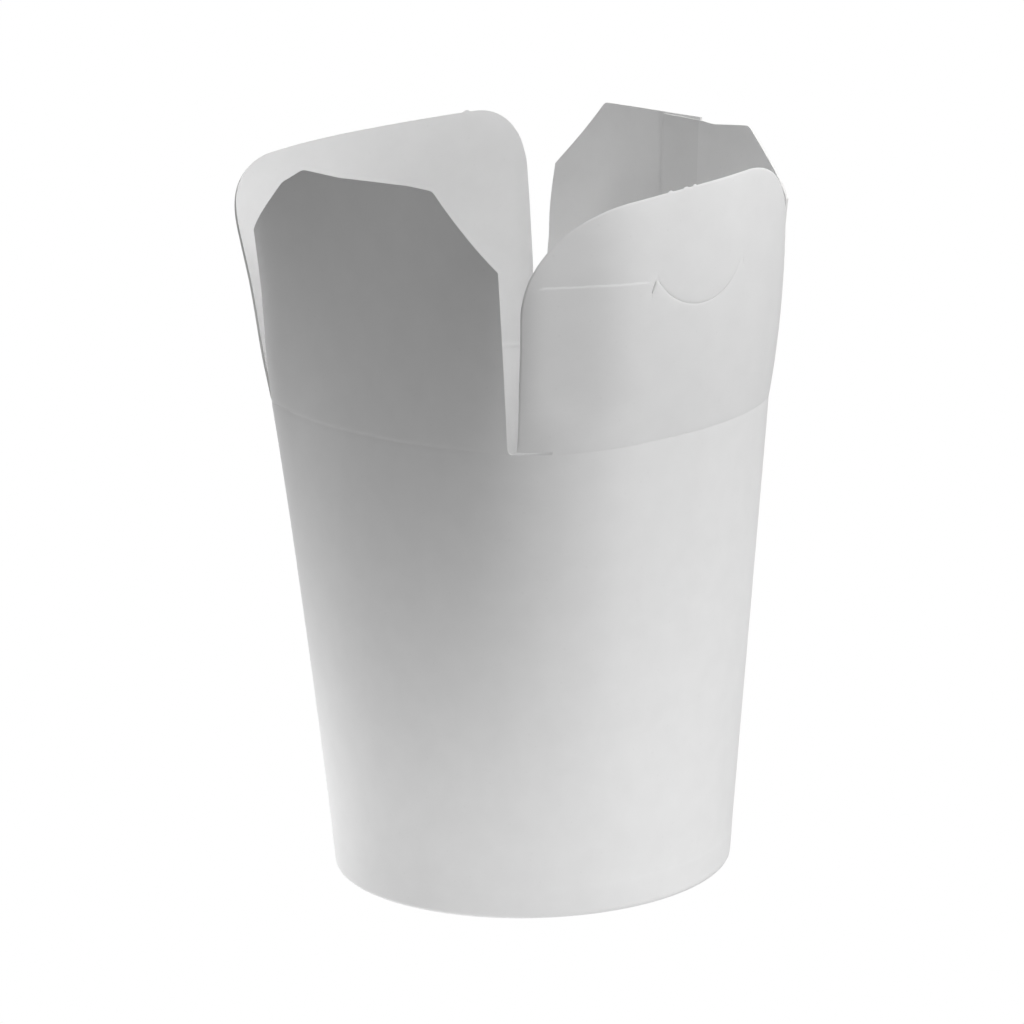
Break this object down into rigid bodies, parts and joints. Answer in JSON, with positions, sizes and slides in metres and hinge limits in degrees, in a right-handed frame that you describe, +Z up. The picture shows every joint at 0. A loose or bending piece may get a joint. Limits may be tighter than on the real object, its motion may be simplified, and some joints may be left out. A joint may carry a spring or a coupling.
{
  "type": "noodle takeaway box",
  "caption": "Open, empty round-base noodle takeaway box of plain white paperboard, with rounded lid flaps, chamfered tuck flaps and a recessed base.",
  "frame": {"origin": "on the ground under the middle of the whole outline with the flaps open; the cup's own axis stands at x -2.4 mm, y 2.0 mm", "axes": "+Z up along the cup's axis; the lid flap with the lock cut faces -Y, the other lid flap faces +Y, the plain tuck flap faces -X and the tuck flap with the side seam faces +X"},
  "size_m": [0.0923, 0.104, 0.1571],
  "materials": {
    "white_board": "matt bleached paperboard with a fine grain",
    "base_board": "matt bleached paperboard with a thin inner coating"
  },
  "bodies": {
    "cup": {"side_wall": "white_board", "base_disc": "base_board"},
    "tuck_left": {"tuck_flap_left": "white_board"},
    "tuck_right": {"tuck_flap_right": "white_board"},
    "lid_front": {"lid_flap_front": "white_board"},
    "lid_back": {"lid_flap_back": "white_board"}
  },
  "joints": [
    {"name": "tuck_left_fold", "type": "hinge", "parent": "cup", "child": "tuck_left", "pos_m": [-0.039, 0.002, 0.1021], "axis": [0, 1, 0], "range_deg": [0, 150]},
    {"name": "tuck_right_fold", "type": "hinge", "parent": "cup", "child": "tuck_right", "pos_m": [0.0342, 0.002, 0.1021], "axis": [0, -1, 0], "range_deg": [0, 150]},
    {"name": "lid_front_fold", "type": "hinge", "parent": "cup", "child": "lid_front", "pos_m": [-0.0024, -0.0346, 0.1021], "axis": [-1, 0, 0], "range_deg": [0, 90]},
    {"name": "lid_back_fold", "type": "hinge", "parent": "cup", "child": "lid_back", "pos_m": [-0.0024, 0.0386, 0.1021], "axis": [1, 0, 0], "range_deg": [0, 68]}
  ]
}
